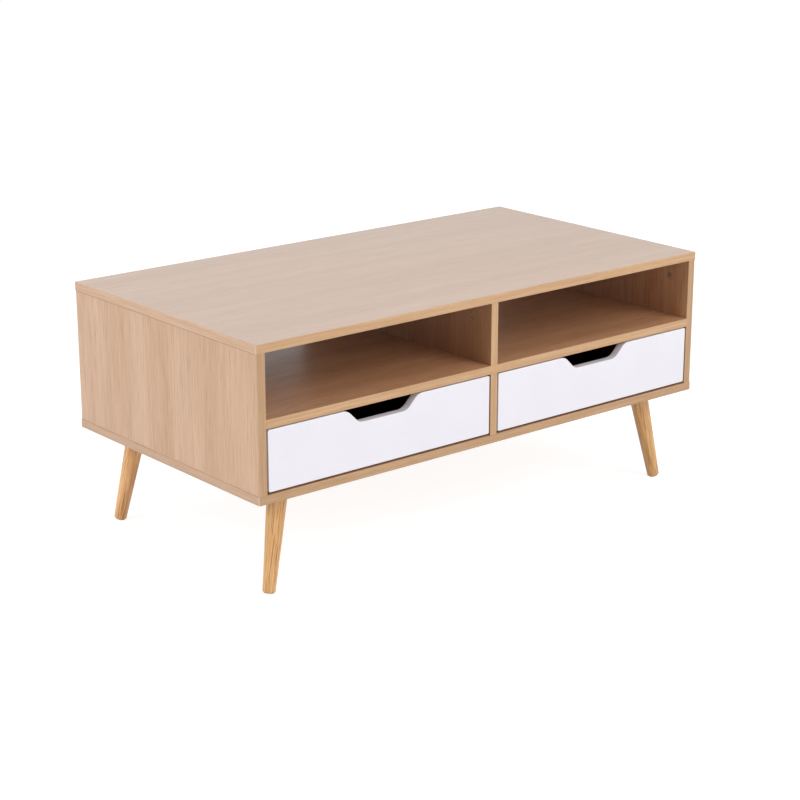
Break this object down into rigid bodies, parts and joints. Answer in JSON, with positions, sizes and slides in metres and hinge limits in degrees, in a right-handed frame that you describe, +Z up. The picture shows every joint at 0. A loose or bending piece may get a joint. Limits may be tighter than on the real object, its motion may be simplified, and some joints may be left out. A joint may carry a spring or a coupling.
{
  "type": "coffee table with drawers",
  "caption": "Low wooden coffee table: laminated case, open compartments above inset white drawers with finger notches on roller runners, on splayed tapered legs.",
  "frame": {"origin": "centre of the footprint on the floor", "axes": "+X along the table's length to the right as seen from the drawers, drawers face -Y, +Z up"},
  "size_m": [1, 0.535, 0.439],
  "materials": {
    "oak_laminate": "matt wood-print melamine",
    "edge_band": "satin wood-print edge band",
    "white_lacquer": "satin white",
    "drawer_board": "matt melamine",
    "hardboard": "smooth hardboard",
    "runner_steel": "powder coat",
    "nylon": "moulded",
    "zinc_casting": "die-cast",
    "zinc_plated_steel": "zinc plated",
    "plate_steel": "black powder coat",
    "leg_wood": "satin clear lacquer",
    "glide_plastic": "moulded",
    "dowel_wood": "raw beech"
  },
  "bodies": {
    "case": {"back_panel": "oak_laminate", "bottom_edge_bands": "edge_band", "bottom_panel": "oak_laminate", "cam_bolts": "zinc_plated_steel", "cam_locks": "zinc_casting", "dowels": "dowel_wood", "front_left_leg": "leg_wood", "front_left_leg_plate": "plate_steel", "front_right_leg": "leg_wood", "front_right_leg_plate": "plate_steel", "inner_edge_bands": "edge_band", "left_bay_left_rail": "runner_steel", "left_bay_right_rail": "runner_steel", "left_side_panel": "oak_laminate", "leg_glides": "glide_plastic", "leg_hanger_bolts": "zinc_plated_steel", "leg_plate_screws": "zinc_plated_steel", "lower_divider": "oak_laminate", "rail_screws": "zinc_plated_steel", "rear_left_leg": "leg_wood", "rear_left_leg_plate": "plate_steel", "rear_right_leg": "leg_wood", "rear_right_leg_plate": "plate_steel", "right_bay_left_rail": "runner_steel", "right_bay_right_rail": "runner_steel", "right_side_panel": "oak_laminate", "shelf_panel": "oak_laminate", "side_edge_bands": "edge_band", "top_edge_bands": "edge_band", "top_panel": "oak_laminate", "upper_divider": "oak_laminate"},
    "left_bay_left_rail_roller": {"left_bay_left_rail_roller": "nylon"},
    "left_bay_right_rail_roller": {"left_bay_right_rail_roller": "nylon"},
    "left_drawer": {"left_drawer_back": "drawer_board", "left_drawer_bottom": "hardboard", "left_drawer_cam_bolts": "zinc_plated_steel", "left_drawer_cam_locks": "zinc_casting", "left_drawer_front": "white_lacquer", "left_drawer_left_runner": "runner_steel", "left_drawer_left_side": "drawer_board", "left_drawer_right_runner": "runner_steel", "left_drawer_right_side": "drawer_board", "left_drawer_screws": "zinc_plated_steel"},
    "left_drawer_left_roller": {"left_drawer_left_roller": "nylon"},
    "left_drawer_right_roller": {"left_drawer_right_roller": "nylon"},
    "right_bay_left_rail_roller": {"right_bay_left_rail_roller": "nylon"},
    "right_bay_right_rail_roller": {"right_bay_right_rail_roller": "nylon"},
    "right_drawer": {"right_drawer_back": "drawer_board", "right_drawer_bottom": "hardboard", "right_drawer_cam_bolts": "zinc_plated_steel", "right_drawer_cam_locks": "zinc_casting", "right_drawer_front": "white_lacquer", "right_drawer_left_runner": "runner_steel", "right_drawer_left_side": "drawer_board", "right_drawer_right_runner": "runner_steel", "right_drawer_right_side": "drawer_board", "right_drawer_screws": "zinc_plated_steel"},
    "right_drawer_left_roller": {"right_drawer_left_roller": "nylon"},
    "right_drawer_right_roller": {"right_drawer_right_roller": "nylon"}
  },
  "joints": [
    {"name": "left_drawer_slide", "type": "slide", "parent": "case", "child": "left_drawer", "axis": [0, -1, 0], "range_m": [0, 0.34]},
    {"name": "right_drawer_slide", "type": "slide", "parent": "case", "child": "right_drawer", "axis": [0, -1, 0], "range_m": [0, 0.34]},
    {"name": "left_bay_left_rail_roller_spin", "type": "hinge", "parent": "case", "child": "left_bay_left_rail_roller", "pos_m": [-0.4786, -0.235, 0.2057], "axis": [1, 0, 0], "range_deg": [-10, 2185]},
    {"name": "left_drawer_left_roller_spin", "type": "hinge", "parent": "left_drawer", "child": "left_drawer_left_roller", "pos_m": [-0.4759, 0.185, 0.2055], "axis": [1, 0, 0], "range_deg": [-10, 2185]},
    {"name": "left_bay_right_rail_roller_spin", "type": "hinge", "parent": "case", "child": "left_bay_right_rail_roller", "pos_m": [-0.0124, -0.235, 0.2057], "axis": [1, 0, 0], "range_deg": [-10, 2185]},
    {"name": "left_drawer_right_roller_spin", "type": "hinge", "parent": "left_drawer", "child": "left_drawer_right_roller", "pos_m": [-0.0151, 0.185, 0.2055], "axis": [1, 0, 0], "range_deg": [-10, 2185]},
    {"name": "right_bay_left_rail_roller_spin", "type": "hinge", "parent": "case", "child": "right_bay_left_rail_roller", "pos_m": [0.0124, -0.235, 0.2057], "axis": [1, 0, 0], "range_deg": [-10, 2185]},
    {"name": "right_drawer_left_roller_spin", "type": "hinge", "parent": "right_drawer", "child": "right_drawer_left_roller", "pos_m": [0.0151, 0.185, 0.2055], "axis": [1, 0, 0], "range_deg": [-10, 2185]},
    {"name": "right_bay_right_rail_roller_spin", "type": "hinge", "parent": "case", "child": "right_bay_right_rail_roller", "pos_m": [0.4786, -0.235, 0.2057], "axis": [1, 0, 0], "range_deg": [-10, 2185]},
    {"name": "right_drawer_right_roller_spin", "type": "hinge", "parent": "right_drawer", "child": "right_drawer_right_roller", "pos_m": [0.4759, 0.185, 0.2055], "axis": [1, 0, 0], "range_deg": [-10, 2185]}
  ],
  "couplings": [
    {"joint": "left_bay_left_rail_roller_spin", "follows": "left_drawer_slide", "rad_per_m": 111.11},
    {"joint": "left_drawer_left_roller_spin", "follows": "left_drawer_slide", "rad_per_m": 111.11},
    {"joint": "left_bay_right_rail_roller_spin", "follows": "left_drawer_slide", "rad_per_m": 111.11},
    {"joint": "left_drawer_right_roller_spin", "follows": "left_drawer_slide", "rad_per_m": 111.11},
    {"joint": "right_bay_left_rail_roller_spin", "follows": "right_drawer_slide", "rad_per_m": 111.11},
    {"joint": "right_drawer_left_roller_spin", "follows": "right_drawer_slide", "rad_per_m": 111.11},
    {"joint": "right_bay_right_rail_roller_spin", "follows": "right_drawer_slide", "rad_per_m": 111.11},
    {"joint": "right_drawer_right_roller_spin", "follows": "right_drawer_slide", "rad_per_m": 111.11}
  ]
}
